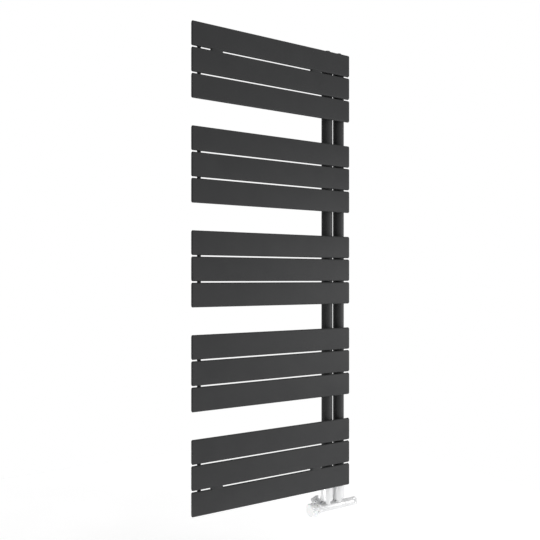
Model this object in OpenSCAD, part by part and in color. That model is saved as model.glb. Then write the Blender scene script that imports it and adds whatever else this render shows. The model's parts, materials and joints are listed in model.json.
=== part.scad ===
// Wall-hung towel radiator with flat-oval panels on one side of two manifold
// pipes, with a twin thermostatic valve below.
// Millimetres. The origin is on the wall, midway between the four wall brackets.
// +X runs to the right along the wall, +Y into the wall and +Z up.

/* [Panels] */
// Length of each heating panel
panel_len = 600; // [580:5:640]
// Height of each heating panel
panel_h = 75; // [70:1:80]
// Thickness of each heating panel, front to back
panel_t = 10; // [9:0.5:12]
// Gap between neighbouring panels of one group
panel_gap = 4; // [3.5:0.5:6]
// Thickness of the panel's sheet
panel_wall = 1.5; // [1.2:0.1:2]
// Distance from the wall to the backs of the panels
wall_gap = 80; // [78:1:95]

/* [Manifolds] */
// Outer diameter of the two vertical pipes
pipe_d = 38; // [36:1:38]
// Distance between the two pipe axes
pipe_spacing = 50; // [50:1:52]
// Distance from the right-hand panel ends to the nearer pipe axis
pipe_inset = 25.5; // [24:0.5:40]
// Diameter of the upright bar that stiffens the free end of each panel group
stay_d = 12; // [8:1:12]
// Distance from the left-hand panel ends to the axis of the upright bars
stay_inset = 29; // [20:1:40]

/* [Wall brackets] */
// Distance from the left-hand panel ends to the left brackets
bracket_left = 85; // [75:1:150]
// Distance from the left-hand panel ends to the right brackets
bracket_right = 461; // [400:1:461]
// Width of the lug that grips the panels
lug_w = 38; // [34:1:46]
// Diameter of the hole for the wall screw
screw_hole_d = 6.5; // [5.5:0.5:7]

/* [Valve] */
// Drop from the lowest panel edge to the axis of the valve barrel
valve_drop = 72; // [72:0.5:74]
// Diameter of the valve barrel
barrel_d = 29; // [28:0.5:29]
// Diameter of the sleeves that hide the union nuts
sleeve_d = 42; // [41:0.5:44]
// Diameter of the thermostat head
head_d = 44; // [44:1:48]
// Length of the turning cap of the thermostat head
head_len = 27; // [27:1:34]
// Length of the cap over the lockshield spindle
lock_cap_len = 45; // [36:1:60]
// Diameter of the pipe tails to the wall
tail_d = 15; // [15:0.5:15]

/* [Hidden] */
$fn = 64;
eps = 0.01;

// Colours
paint = "#3d3e40";
white = "#e9eaec";
metal = "#b9bcc0";
chrome = "#dfe1e4";
brass = "#c2a05c";
rubber = "#262626";

// Panel layout: five groups of three, with one pitch left empty between groups
group_count = 5;
per_group = 3;
panel_count = group_count * per_group;
pitch = panel_h + panel_gap;
stack_h = (panel_count + group_count - 2) * pitch + panel_h;
end_t = 3;
port_rise = 12;
nipple_r = 9;
nipple_bore_r = 6.5;
nipple_len = 6;
stay_set_in = 10;
baffle_t = 1.5;
baffle_stop = 45;

// Places in the frame of the whole radiator
left_x = -(bracket_left + bracket_right) / 2;
right_x = left_x + panel_len;
return_x = right_x - pipe_inset;
supply_x = return_x - pipe_spacing;
pipe_r = pipe_d / 2;
pipe_wall = 1.5;
panel_y = -wall_gap - panel_t / 2;
pipe_y = -wall_gap + pipe_r;
bottom_z = -stack_h / 2;
bushing_z = bottom_z + 2;
bushing_h = 14;
cap_h = 6;
pipe_top_z = -bottom_z - 1;
plug_head_h = 10;
plug_head_r = 11.5;
thread_r = 9.3;
plug_seal = 1.2;
plug_shank = 10;
plug_socket_r = 5;
vent_deep = 12;
vent_slot = 1.2;
vent_outlet_r = 1;

// Wall brackets
bracket_xs = [left_x + bracket_left, left_x + bracket_right];
bracket_z = stack_h / 2 - panel_h - panel_gap / 2;
lug_plate_h = 34;
lug_plate_t = 4;
lug_boss_r = 12;
lug_boss_len = 12;
lug_set_back = 0.6;
lug_fill = 2.6;
stem_r = 7.94;
stem_end = -12;
socket_bore_r = 8;
socket_r = 12;
socket_len = 46;
socket_floor = 5;
flange_r = 22;
grub_in = 8;
grub_r = 2.5;
grub_socket_r = 1.5;

// Valve, measured from the middle of the barrel
valve_x = (supply_x + return_x) / 2;
valve_z = bottom_z - valve_drop;
port_x = pipe_spacing / 2;
barrel_r = barrel_d / 2;
barrel_half = 52;
chamber_r = 10;
web_half = 7;
way_r = 6;
stub_r = 12;
union_r = 13.2;
union_len = 12;
sleeve_low = 24;
sleeve_wall = 1.5;
nut_r = 17.3;
nut_len = 19.5;
stub_top = valve_drop - 28.5;
seal_t = 1.5;
flange_t = 3;
collar_t = 4;
collar_r = 13;
tail_neck_r = 8.2;
seat_x = 37;
seat_r = 4.5;
insert_in = 16.6;
insert_flange = 2;
port_r = 3;
pin_out = 62;
pin_in = 30;
pin_r = 1.5;
pin_tail_r = 1;
pin_foot_r = 3.8;
disc_r = 5.5;
disc_in = 38.6;
disc_out = 41.6;
pin_bore_r = 1.55;
spindle_r = 3;
spindle_bore_r = 3.05;
spindle_drive_r = 2.5;
spindle_head_r = 8;
spindle_head_in = 66.5;
spindle_head_out = 80;
spindle_socket_r = 3.4;
spindle_socket_deep = 6;
lock_neck_r = 9;
lock_neck_end = 66;
lock_grip = 18;
lock_hollow_r = 11;
gland_in = 50;
cup_in = 39.3;
cup_out = 47.3;
cup_wall = 2;
cup_bore_r = 2.8;
rear_stub_y = 30;
rear_nut_y = 22;
rear_nut_len = 19;
rear_thread = 9;
tail_grip = 6;
tail_wall = 1;
ring_t = 4;
tail_into_wall = 25;
tail_groove = 1;
rosette_r = 23;
rosette_t = 8;

// Spring under the foot of the supply pin
spring_turns = 5;
spring_steps = 14;
spring_sides = 8;
spring_r = 3.2;
wire_r = 0.4;
spring_from = 18.4;
spring_to = 29.6;

// Thermostat head, measured to the left of the middle of the barrel
neck_r = 14;
neck_end = 64;
base_in = 69;
collar_out = 71;
base_r = head_d / 2 - 2.7;
cap_start = 71.5;
cap_wall = 2.2;
capsule_r = 11.7;
capsule_in = 74;
capsule_len = 18;
capsule_wall = 0.5;
capsule_end_t = 0.8;
pusher_r = 3;
head_nut_in = 55;
head_nut_out = 68.5;
head_nut_floor = 66;
base_neck_r = 12;
base_floor = 72;
pusher_bore_r = 4;
flute_count = 24;
flute_r = 2;
flute_off = 1.2;
flute_from = 9;

// ---- Small helpers ----

module rod_x(x0, x1, r) {
    translate([x0, 0, 0]) rotate([0, 90, 0]) cylinder(h = x1 - x0, r = r);
}

module rod_y(y0, y1, r) {
    translate([0, y0, 0]) rotate([-90, 0, 0]) cylinder(h = y1 - y0, r = r);
}

module rod_z(z0, z1, r) {
    translate([0, 0, z0]) cylinder(h = z1 - z0, r = r);
}

module ring_x(x0, x1, r, bore) {
    difference() {
        rod_x(x0, x1, r);
        rod_x(x0 - 1, x1 + 1, bore);
    }
}

module ring_y(y0, y1, r, bore) {
    difference() {
        rod_y(y0, y1, r);
        rod_y(y0 - 1, y1 + 1, bore);
    }
}

module ring_z(z0, z1, r, bore) {
    difference() {
        rod_z(z0, z1, r);
        rod_z(z0 - 1, z1 + 1, bore);
    }
}

// Six-sided nut along +Z, given its radius across corners
module hex_z(z0, z1, r) {
    translate([0, 0, z0]) cylinder(h = z1 - z0, r = r, $fn = 6);
}

// ---- Panels ----

// Height of a panel's middle: panels are numbered from the top
function panel_z(i) =
    stack_h / 2 - panel_h / 2 - (i - 1 + floor((i - 1) / per_group)) * pitch;

// Flat oval that is h high and t deep, drawn with its depth along the first axis
module flat_oval(h, t) {
    square([t, h - t], center = true);
    for (s = [-1, 1])
        translate([0, s * (h - t) / 2]) circle(d = t);
}

// Flat oval drawn out along +X
module oval_bar(x0, x1, h, t) {
    translate([x0, 0, 0]) rotate([90, 0, 90]) linear_extrude(x1 - x0) flat_oval(h, t);
}

// One heating panel: an open flat-oval tube with its two ports in the back
module panel(i) {
    inner_h = panel_h - 2 * panel_wall;
    inner_t = panel_t - 2 * panel_wall;
    color(paint) translate([0, panel_y, panel_z(i)]) difference() {
        oval_bar(left_x + end_t, right_x - end_t, panel_h, panel_t);
        oval_bar(left_x, right_x, inner_h, inner_t);
        translate([supply_x, 0, port_rise]) rod_y(0, panel_t, nipple_r);
        translate([return_x, 0, -port_rise]) rod_y(0, panel_t, nipple_r);
    }
}

// Plates that close the panel tubes at one end
module panel_ends(x0) {
    color(paint) for (i = [1 : panel_count])
        translate([0, panel_y, panel_z(i)]) oval_bar(x0, x0 + end_t, panel_h, panel_t);
}

// Strips inside the panels that send the water to the free end and back
module flow_baffles() {
    inner_t = panel_t - 2 * panel_wall;
    x0 = left_x + baffle_stop;
    color(metal) for (i = [1 : panel_count])
        translate([x0, panel_y - inner_t / 2, panel_z(i) - baffle_t / 2])
            cube([right_x - end_t - x0, inner_t, baffle_t]);
}

// Upright bar behind the free end of one group, numbered from the top
module stay(g) {
    top = panel_z((g - 1) * per_group + 1) + panel_h / 2 - stay_set_in;
    bottom = panel_z(g * per_group) - panel_h / 2 + stay_set_in;
    color(paint) translate([left_x + stay_inset, -wall_gap + stay_d / 2, 0])
        rod_z(bottom, top, stay_d / 2);
}

// ---- Manifolds ----

// Vertical pipe with one side port for each panel
module manifold(x, rise) {
    z0 = bushing_z + bushing_h;
    z1 = pipe_top_z - cap_h;
    color(paint) translate([x, pipe_y, 0]) difference() {
        ring_z(z0, z1, pipe_r, pipe_r - pipe_wall);
        for (i = [1 : panel_count])
            translate([0, 0, panel_z(i) + rise]) rod_y(-pipe_r - 1, 0, nipple_r);
    }
}

// Short tubes that join the panels to one pipe
module nipples(x, rise) {
    y0 = -wall_gap - panel_wall;
    color(paint) for (i = [1 : panel_count])
        translate([x, 0, panel_z(i) + rise]) ring_y(y0, y0 + nipple_len, nipple_r, nipple_bore_r);
}

module at_pipes() {
    for (x = [supply_x, return_x])
        translate([x, pipe_y, 0]) children();
}

// Rings welded on the pipe tops, threaded for the plugs
module manifold_top_caps() {
    color(paint) at_pipes() ring_z(pipe_top_z - cap_h, pipe_top_z, pipe_r, thread_r);
}

// Bushings welded in the pipe bottoms, threaded for the valve
module manifold_bottom_bushings() {
    color(paint) at_pipes() ring_z(bushing_z, bushing_z + bushing_h, pipe_r, thread_r);
}

// Head and shank shared by the blanking plug and the air vent
module plug_shape() {
    groove_r = thread_r + plug_seal;
    difference() {
        union() {
            rod_z(pipe_top_z - plug_shank, pipe_top_z, thread_r);
            rod_z(pipe_top_z, pipe_top_z + plug_head_h, plug_head_r);
        }
        ring_z(pipe_top_z - 1, pipe_top_z + plug_seal, groove_r, thread_r - eps);
    }
}

module blanking_plug() {
    color(paint) translate([supply_x, pipe_y, 0]) difference() {
        plug_shape();
        hex_z(pipe_top_z + plug_head_h / 2, pipe_top_z + plug_head_h + 1, plug_socket_r);
    }
}

// Bleed plug with a bored seat for the vent screw and a side outlet
module air_vent_body() {
    z1 = pipe_top_z + plug_head_h;
    color(paint) translate([return_x, pipe_y, 0]) difference() {
        plug_shape();
        rod_z(z1 - vent_deep, z1 + 1, spindle_bore_r);
        rod_z(pipe_top_z - plug_shank - 1, z1, pin_r);
        translate([0, 0, pipe_top_z + plug_head_h / 2])
            rod_y(0, plug_head_r + 1, vent_outlet_r);
    }
}

// Vent screw with a key slot; its collar end sits just above the seat
module air_vent_screw() {
    z1 = pipe_top_z + plug_head_h;
    color(brass) translate([return_x, pipe_y, 0]) difference() {
        rod_z(z1 - vent_deep + 0.3, z1 + 1.4, spindle_r);
        translate([-spindle_r - 1, -vent_slot / 2, z1 - 0.2])
            cube([2 * spindle_r + 2, vent_slot, 3]);
    }
}

// Rings that seal the two top plugs
module top_plug_seals() {
    color(rubber) at_pipes() ring_z(pipe_top_z, pipe_top_z + plug_seal, thread_r + plug_seal, thread_r);
}

// ---- Wall brackets ----

module at_brackets() {
    for (x = bracket_xs, s = [-1, 1])
        translate([x, 0, s * bracket_z]) children();
}

// Lug with a tongue between two panels and a plate and socket behind them. The
// tongue fills the hollow between the rounded edges of the panels.
module bracket_lugs() {
    tongue_y = -wall_gap - panel_t + lug_set_back;
    tongue_h = panel_gap + 2 * lug_fill;
    color(paint) at_brackets() difference() {
        union() {
            difference() {
                translate([-lug_w / 2, tongue_y, -tongue_h / 2])
                    cube([lug_w, -wall_gap - tongue_y, tongue_h]);
                for (s = [-1, 1])
                    translate([0, panel_y, s * pitch / 2])
                        oval_bar(-lug_w, lug_w, panel_h, panel_t);
            }
            translate([-lug_w / 2, -wall_gap, -lug_plate_h / 2])
                cube([lug_w, lug_plate_t, lug_plate_h]);
            rod_y(-wall_gap + lug_plate_t, -wall_gap + lug_plate_t + lug_boss_len, lug_boss_r);
        }
        rod_y(-wall_gap + lug_plate_t, 0, stem_r);
    }
}

// Stems fixed in the lugs, which slide in the wall sockets
module bracket_stems() {
    color(metal) at_brackets() rod_y(-wall_gap + lug_plate_t, stem_end, stem_r);
}

// Sockets screwed to the wall
module wall_sockets() {
    color(paint) at_brackets() difference() {
        union() {
            rod_y(-socket_len, 0, socket_r);
            rod_y(-socket_floor, 0, flange_r);
        }
        rod_y(-socket_len - 1, -socket_floor, socket_bore_r);
        rod_y(-socket_floor - 1, 1, screw_hole_d / 2);
        translate([0, -socket_len + grub_in, 0]) rod_z(-socket_r - 1, 0, grub_r);
    }
}

// Screws below the sockets that lock the stems at the chosen depth
module socket_grub_screws() {
    tip = -stem_r - 0.3;
    color(metal) at_brackets() translate([0, -socket_len + grub_in, 0]) difference() {
        rod_z(-socket_r - 1.5, tip, grub_r);
        hex_z(-socket_r - 2, -socket_r + 1, grub_socket_r);
    }
}

// ---- Twin valve ----

module at_valve() {
    translate([valve_x, pipe_y, valve_z]) children();
}

module at_ports() {
    at_valve() for (s = [-1, 1])
        translate([s * port_x, 0, 0]) children();
}

// Barrel with two upper stubs, two rear stubs and a chamber in each half
module valve_body() {
    color(chrome) at_valve() difference() {
        union() {
            rod_x(-barrel_half, barrel_half, barrel_r);
            for (s = [-1, 1]) translate([s * port_x, 0, 0]) {
                rod_z(0, stub_top - union_len, stub_r);
                rod_z(stub_top - union_len, stub_top, union_r);
                rod_y(0, rear_stub_y - rear_thread, stub_r);
                rod_y(rear_stub_y - rear_thread, rear_stub_y, union_r);
            }
        }
        rod_x(-barrel_half - 1, -web_half, chamber_r);
        rod_x(web_half, barrel_half + 1, chamber_r);
        for (s = [-1, 1]) translate([s * port_x, 0, 0]) {
            rod_z(0, stub_top + 1, way_r);
            rod_y(0, rear_stub_y + 1, way_r);
            rod_y(rear_stub_y - tail_grip, rear_stub_y + 1, tail_d / 2);
        }
    }
}

// Sleeve with a seat, drawn for the right-hand chamber. The water comes in from
// the rear, passes the seat and leaves through the window at the top.
module seat_sleeve(gland_r) {
    window_w = 30;
    window_d = 2.5;
    difference() {
        union() {
            rod_x(insert_in, barrel_half, chamber_r);
            rod_x(barrel_half, barrel_half + insert_flange, barrel_r);
        }
        rod_x(insert_in + 1.4, seat_x - 1, way_r);
        rod_x(seat_x - 2, seat_x + 1, seat_r);
        rod_x(seat_x, gland_in, way_r);
        rod_x(gland_in - 1, barrel_half + insert_flange + 1, gland_r);
        translate([port_x, 0, 0]) rod_z(0, chamber_r + 1, way_r);
        translate([insert_in - 1, chamber_r - window_d, -chamber_r])
            cube([window_w, window_d + 1, 2 * chamber_r]);
        translate([disc_out - port_r / 4, 0, 0]) rod_y(0, chamber_r, port_r);
    }
}

module supply_insert() {
    pocket = 6;
    color(chrome) at_valve() mirror([1, 0, 0]) {
        seat_sleeve(pin_bore_r);
        difference() {
            rod_x(barrel_half + insert_flange, neck_end, neck_r);
            rod_x(barrel_half + 1, neck_end, pin_bore_r);
            rod_x(neck_end - pocket, neck_end + 1, pusher_bore_r);
        }
    }
}

module lockshield_insert() {
    color(chrome) at_valve() {
        seat_sleeve(spindle_bore_r);
        ring_x(barrel_half + insert_flange, lock_neck_end, lock_neck_r, spindle_bore_r);
    }
}

// Pin that closes the supply disc, with the tail that the return spring lifts
module supply_pin() {
    color(metal) at_valve() mirror([1, 0, 0]) {
        rod_x(disc_out, pin_out, pin_r);
        rod_x(pin_in + 1, disc_out, pin_tail_r);
        rod_x(pin_in, pin_in + 1, pin_foot_r);
    }
}

module supply_disc() {
    color(rubber) at_valve() mirror([1, 0, 0]) ring_x(disc_in, disc_out, disc_r, pin_tail_r);
}

// Coil spring along +X: rings of points swept round a helix
function spring_point(k, j) =
    let (
        a = 360 * k / spring_steps,
        b = 360 * j / spring_sides,
        r = spring_r + wire_r * cos(b),
        x = spring_from + (spring_to - spring_from) * k / (spring_turns * spring_steps)
    )
    [x + wire_r * sin(b), r * cos(a), r * sin(a)];

module insert_spring() {
    rings = spring_turns * spring_steps;
    points = [for (k = [0 : rings], j = [0 : spring_sides - 1]) spring_point(k, j)];
    sides = [for (k = [0 : rings - 1], j = [0 : spring_sides - 1])
        let (n = (j + 1) % spring_sides, a = k * spring_sides, b = a + spring_sides)
        [a + j, a + n, b + n, b + j]];
    first = [for (j = [0 : spring_sides - 1]) spring_sides - 1 - j];
    last = [for (j = [0 : spring_sides - 1]) rings * spring_sides + j];
    color(metal) at_valve() mirror([1, 0, 0])
        polyhedron(points, concat([first], sides, [last]), convexity = 8);
}

// Spindle that turns in the gland and drives the return disc, with a wide head
module lockshield_spindle() {
    color(brass) at_valve() difference() {
        union() {
            rod_x(disc_out, gland_in + 0.3, spindle_drive_r);
            rod_x(gland_in + 0.3, spindle_head_in, spindle_r);
            rod_x(spindle_head_in, spindle_head_out, spindle_head_r);
        }
        translate([spindle_head_out - spindle_socket_deep, 0, 0]) rotate([0, 90, 0])
            cylinder(h = spindle_socket_deep + 1, r = spindle_socket_r, $fn = 6);
    }
}

// Cup-shaped disc on the end of the lockshield spindle
module return_disc() {
    color(rubber) at_valve() difference() {
        rod_x(cup_in, cup_out, disc_r);
        rod_x(cup_in + cup_wall, cup_out + 1, cup_bore_r);
    }
}

// Long cap that covers the lockshield spindle
module lockshield_cap() {
    x0 = barrel_half + insert_flange + 0.4;
    x1 = x0 + lock_cap_len;
    end_wall = 4;
    color(chrome) at_valve() difference() {
        rod_x(x0, x1, barrel_r - 0.2);
        rod_x(x0 - 1, x0 + lock_grip, lock_neck_r + 0.3);
        rod_x(x0 + lock_grip - 1, x1 - end_wall, lock_hollow_r);
    }
}

// Tailpieces screwed in the bushings, each with a flange under its union nut
module valve_tailpieces() {
    foot = stub_top + seal_t;
    collar = valve_drop + 2 - seal_t;
    top = collar + seal_t + union_len;
    color(brass) at_ports() difference() {
        union() {
            rod_z(foot, foot + flange_t, union_r - 0.4);
            rod_z(foot + flange_t, collar - collar_t, tail_neck_r);
            rod_z(collar - collar_t, collar, collar_r);
            rod_z(collar, top, thread_r);
        }
        rod_z(foot - 1, top + 1, way_r);
    }
}

module tailpiece_seals() {
    z0 = valve_drop + 2 - seal_t;
    color(rubber) at_ports() ring_z(z0, z0 + seal_t, collar_r - 1, thread_r);
}

module union_seals() {
    color(rubber) at_ports() ring_z(stub_top, stub_top + seal_t, union_r - 0.4, way_r);
}

module union_nuts() {
    z0 = stub_top - union_len;
    lip = stub_top + seal_t + flange_t;
    color(metal) at_ports() difference() {
        hex_z(z0, z0 + nut_len, nut_r);
        rod_z(z0 - 1, lip, union_r);
        rod_z(lip - 1, z0 + nut_len + 1, tail_neck_r + 0.1);
    }
}

// Plain sleeves over the union nuts
module masking_sleeves() {
    color(chrome) at_ports()
        ring_z(sleeve_low, valve_drop - 1, sleeve_d / 2, sleeve_d / 2 - sleeve_wall);
}

// Nuts, rings and tails of the two pipes to the wall
module compression_nuts() {
    y1 = rear_nut_y + rear_nut_len;
    color(chrome) at_ports() difference() {
        rotate([-90, 0, 0]) hex_z(rear_nut_y, y1, nut_r);
        rod_y(rear_nut_y - 1, rear_stub_y + ring_t, union_r);
        rod_y(rear_stub_y, y1 + 1, tail_d / 2);
    }
}

module compression_rings() {
    color(brass) at_ports() ring_y(rear_stub_y, rear_stub_y + ring_t, union_r, tail_d / 2);
}

// Pipe tails with a shallow groove that marks where they enter the wall
module wall_tails() {
    wall = -pipe_y;
    color(chrome) at_ports() difference() {
        ring_y(rear_stub_y - tail_grip, wall + tail_into_wall, tail_d / 2, tail_d / 2 - tail_wall);
        ring_y(wall, wall + tail_groove, tail_d, tail_d / 2 - 0.3);
    }
}

module wall_rosettes() {
    color(chrome) at_ports() translate([0, -pipe_y, 0])
        ring_y(-rosette_t, 0, rosette_r, tail_d / 2 + 0.3);
}

// ---- Thermostat head, drawn to the right and mirrored to the left ----

module head_nut() {
    color(chrome) at_valve() mirror([1, 0, 0]) difference() {
        rod_x(head_nut_in, head_nut_out, neck_r + 2);
        rod_x(head_nut_in - 1, head_nut_floor, neck_r);
        rod_x(head_nut_floor - 1, base_in, base_neck_r);
    }
}

module head_base() {
    color(white) at_valve() mirror([1, 0, 0]) difference() {
        union() {
            rod_x(neck_end, head_nut_floor, neck_r - 0.1);
            rod_x(head_nut_floor, base_in, base_neck_r);
            rod_x(base_in, collar_out, head_d / 2 - 0.2);
            rod_x(collar_out, cap_start + head_len - 4.5, base_r);
        }
        rod_x(neck_end - 1, base_floor, pusher_bore_r);
        rod_x(base_floor - 1, cap_start + head_len, capsule_r + 0.3);
    }
}

// Thin can that holds the wax, its lid, and its pusher
module sensor_capsule() {
    x1 = capsule_in + capsule_len - capsule_end_t;
    color(metal) at_valve() mirror([1, 0, 0]) {
        difference() {
            union() {
                rod_x(capsule_in, x1, capsule_r);
                rod_x(pin_out, capsule_in, pusher_r);
            }
            rod_x(capsule_in + capsule_end_t, x1 + 1, capsule_r - capsule_wall);
        }
        rod_x(x1, x1 + capsule_end_t, capsule_r);
    }
}

// Turning cap with grip flutes
module head_cap() {
    x1 = cap_start + head_len;
    end_wall = 2.5;
    color(white) at_valve() mirror([1, 0, 0]) difference() {
        rod_x(cap_start, x1, head_d / 2);
        rod_x(cap_start - 1, x1 - end_wall, head_d / 2 - cap_wall);
        for (k = [0 : flute_count - 1])
            rotate([360 * k / flute_count, 0, 0]) translate([0, head_d / 2 + flute_off, 0])
                rod_x(cap_start + flute_from, x1 + 1, flute_r);
    }
}

// ---- One line for each node ----

panel(1);  // panel_01
panel(2);  // panel_02
panel(3);  // panel_03
panel(4);  // panel_04
panel(5);  // panel_05
panel(6);  // panel_06
panel(7);  // panel_07
panel(8);  // panel_08
panel(9);  // panel_09
panel(10);  // panel_10
panel(11);  // panel_11
panel(12);  // panel_12
panel(13);  // panel_13
panel(14);  // panel_14
panel(15);  // panel_15
stay(1);  // stay_1
stay(2);  // stay_2
stay(3);  // stay_3
stay(4);  // stay_4
stay(5);  // stay_5
panel_ends(left_x);  // panel_ends_left
panel_ends(right_x - end_t);  // panel_ends_right
flow_baffles();
manifold(supply_x, port_rise);  // supply_manifold
manifold(return_x, -port_rise);  // return_manifold
nipples(supply_x, port_rise);  // supply_nipples
nipples(return_x, -port_rise);  // return_nipples
manifold_top_caps();
manifold_bottom_bushings();
blanking_plug();
air_vent_body();
air_vent_screw();
top_plug_seals();
bracket_lugs();
bracket_stems();
wall_sockets();
socket_grub_screws();
valve_body();
supply_insert();
lockshield_insert();
supply_pin();
supply_disc();
insert_spring();
lockshield_spindle();
return_disc();
lockshield_cap();
valve_tailpieces();
tailpiece_seals();
union_nuts();
union_seals();
masking_sleeves();
head_nut();
head_base();
sensor_capsule();
head_cap();
compression_nuts();
compression_rings();
wall_tails();
wall_rosettes();
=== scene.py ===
"""Looks of a wall-hung towel radiator with a twin valve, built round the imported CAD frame.

Each builder works in millimetres in the row frame, and add_piece() turns them into metres.
"""

import json
import math
import random

import bmesh
import bpy
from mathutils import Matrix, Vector


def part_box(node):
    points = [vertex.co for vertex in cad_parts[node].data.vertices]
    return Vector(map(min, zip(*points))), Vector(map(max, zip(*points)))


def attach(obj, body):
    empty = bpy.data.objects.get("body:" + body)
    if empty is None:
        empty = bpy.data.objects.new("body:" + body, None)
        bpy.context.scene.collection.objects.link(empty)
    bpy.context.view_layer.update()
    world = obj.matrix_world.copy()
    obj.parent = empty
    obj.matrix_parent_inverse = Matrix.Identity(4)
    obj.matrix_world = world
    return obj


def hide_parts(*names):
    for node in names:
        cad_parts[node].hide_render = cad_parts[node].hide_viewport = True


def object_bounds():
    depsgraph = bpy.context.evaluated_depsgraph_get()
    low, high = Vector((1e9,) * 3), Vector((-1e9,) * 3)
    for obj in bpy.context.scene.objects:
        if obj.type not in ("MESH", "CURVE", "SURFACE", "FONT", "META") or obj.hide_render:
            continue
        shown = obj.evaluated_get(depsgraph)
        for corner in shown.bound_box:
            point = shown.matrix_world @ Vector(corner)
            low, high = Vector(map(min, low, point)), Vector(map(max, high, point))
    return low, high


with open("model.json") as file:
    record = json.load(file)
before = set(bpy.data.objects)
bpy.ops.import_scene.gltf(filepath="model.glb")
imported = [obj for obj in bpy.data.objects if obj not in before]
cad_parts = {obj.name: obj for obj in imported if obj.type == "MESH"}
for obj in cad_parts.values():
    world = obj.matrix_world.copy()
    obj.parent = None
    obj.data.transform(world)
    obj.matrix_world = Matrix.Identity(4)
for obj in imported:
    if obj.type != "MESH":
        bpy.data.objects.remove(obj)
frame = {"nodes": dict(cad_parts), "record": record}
cad_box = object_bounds()

MM = 0.001
TAU = 2 * math.pi
PANEL_COUNT = 15
PER_GROUP = 3
GROUP_COUNT = PANEL_COUNT // PER_GROUP
RANDOM = random.Random(7)


# ---- Reading the frame ----


def box_mm(node):
    """Lowest and highest corner of a CAD node, in millimetres."""
    low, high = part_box(node)
    return low / MM, high / MM


def middle(node):
    """Middle of a CAD node's box, to the quarter millimetre that the CAD is drawn to."""
    low, high = box_mm(node)
    return Vector([round(4 * v) / 4 for v in (low + high) / 2])


def half_size(node, axis):
    """Half of a CAD node's size along x, y or z, which is a round node's radius."""
    low, high = (getattr(corner, axis) for corner in box_mm(node))
    return (high - low) / 2


def panel_name(number):
    return f"panel_{number:02d}"


PANEL_LOW, PANEL_HIGH = box_mm(panel_name(1))
PANEL_H = PANEL_HIGH.z - PANEL_LOW.z
PANEL_T = PANEL_HIGH.y - PANEL_LOW.y
PANEL_BACK = PANEL_HIGH.y
PANEL_Y = (PANEL_LOW.y + PANEL_HIGH.y) / 2
PANEL_ZS = [middle(panel_name(i + 1)).z for i in range(PANEL_COUNT)]

SUPPLY = middle("supply_manifold")
RETURN = middle("return_manifold")
PIPE_Y = SUPPLY.y
PIPE_R = half_size("supply_manifold", "x")
PIPE_XS = (SUPPLY.x, RETURN.x)
VALVE = Vector((middle("valve_body").x, PIPE_Y, middle("head_cap").z))
PORT = (RETURN.x - SUPPLY.x) / 2
BARREL_R = half_size("supply_insert", "z")
WALL_Y = 0.0


# ---- Mesh code ----


class Shells:
    """Collects closed shells, which become one mesh."""

    def __init__(self):
        self.verts = []
        self.faces = []

    def loft(self, rings, loop=False):
        """Skins rings of points. The first and last are capped, unless the rings loop."""
        start = len(self.verts)
        size = len(rings[0])
        count = len(rings)
        for ring in rings:
            self.verts.extend(ring)
        for i in range(count if loop else count - 1):
            a = start + i * size
            b = start + (i + 1) % count * size
            for j in range(size):
                k = (j + 1) % size
                self.faces.append((a + j, a + k, b + k, b + j))
        if not loop:
            last = start + (count - 1) * size
            self.faces.append(tuple(start + j for j in reversed(range(size))))
            self.faces.append(tuple(last + j for j in range(size)))
        return self

    def turned(self, profile, centre, axis="z", steps=64, bored=False, flip=1):
        """Turns a profile of (along, radius) pairs round an axis. Either may be a function of
        the angle. A bored profile closes on itself; flip=-1 mirrors it along the axis."""
        rings = []
        for along, radius in profile:
            ring = []
            for j in range(steps):
                angle = TAU * j / steps
                a = (along(angle) if callable(along) else along) * flip
                r = radius(angle) if callable(radius) else radius
                u, v = r * math.cos(angle), r * math.sin(angle)
                spot = {"x": (a, u, v), "y": (u, a, v), "z": (u, v, a)}[axis]
                ring.append(Vector(spot) + centre)
            rings.append(ring)
        return self.loft(rings, loop=bored)

    def bead(self, path, radius, closed=False, up=(0, 1, 0), sides=10, ripple=0.1):
        """A weld bead: a round string along a path, with the small ripples of a weld."""
        count = len(path)
        rings = []
        for i, spot in enumerate(path):
            after = path[(i + 1) % count] if closed or i + 1 < count else spot
            before = path[i - 1] if closed or i > 0 else spot
            tangent = (after - before).normalized()
            side = tangent.cross(Vector(up)).normalized()
            rise = side.cross(tangent)
            taper = 1.0
            if not closed:
                taper = math.sqrt(max(0.02, 1 - abs(2 * i / (count - 1) - 1) ** 4))
            r = radius * taper * (1 + ripple * math.sin(i * 2.4) + RANDOM.uniform(-0.04, 0.04))
            ring = [
                spot + r * (math.cos(TAU * j / sides) * side + math.sin(TAU * j / sides) * rise)
                for j in range(sides)
            ]
            rings.append(ring)
        return self.loft(rings, loop=closed)


def add_piece(name, shells, material, body, replaces=(), sharp=32):
    """Makes a piece from shells, and ties it to its body, its material and its CAD nodes."""
    mesh = bpy.data.meshes.new(name)
    mesh.from_pydata([v * MM for v in shells.verts], [], shells.faces)
    tidy = bmesh.new()
    tidy.from_mesh(mesh)
    bmesh.ops.recalc_face_normals(tidy, faces=tidy.faces)
    tidy.to_mesh(mesh)
    tidy.free()
    return dress(bpy.data.objects.new(name, mesh), material, body, replaces, sharp)


def dress(obj, material, body, replaces=(), sharp=32):
    """Gives an object its material and smooth shading, its body and CAD nodes."""
    if obj.name not in bpy.context.scene.objects:
        bpy.context.scene.collection.objects.link(obj)
    obj.data.materials.clear()
    obj.data.materials.append(material)
    smooth(obj.data, sharp)
    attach(obj, body)
    if replaces:
        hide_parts(*replaces)
    return obj


def smooth(mesh, sharp=32):
    """Shades a mesh smooth, apart from edges of more than so many degrees."""
    mesh.polygons.foreach_set("use_smooth", [True] * len(mesh.polygons))
    mesh.set_sharp_from_angle(angle=math.radians(sharp))


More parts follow.
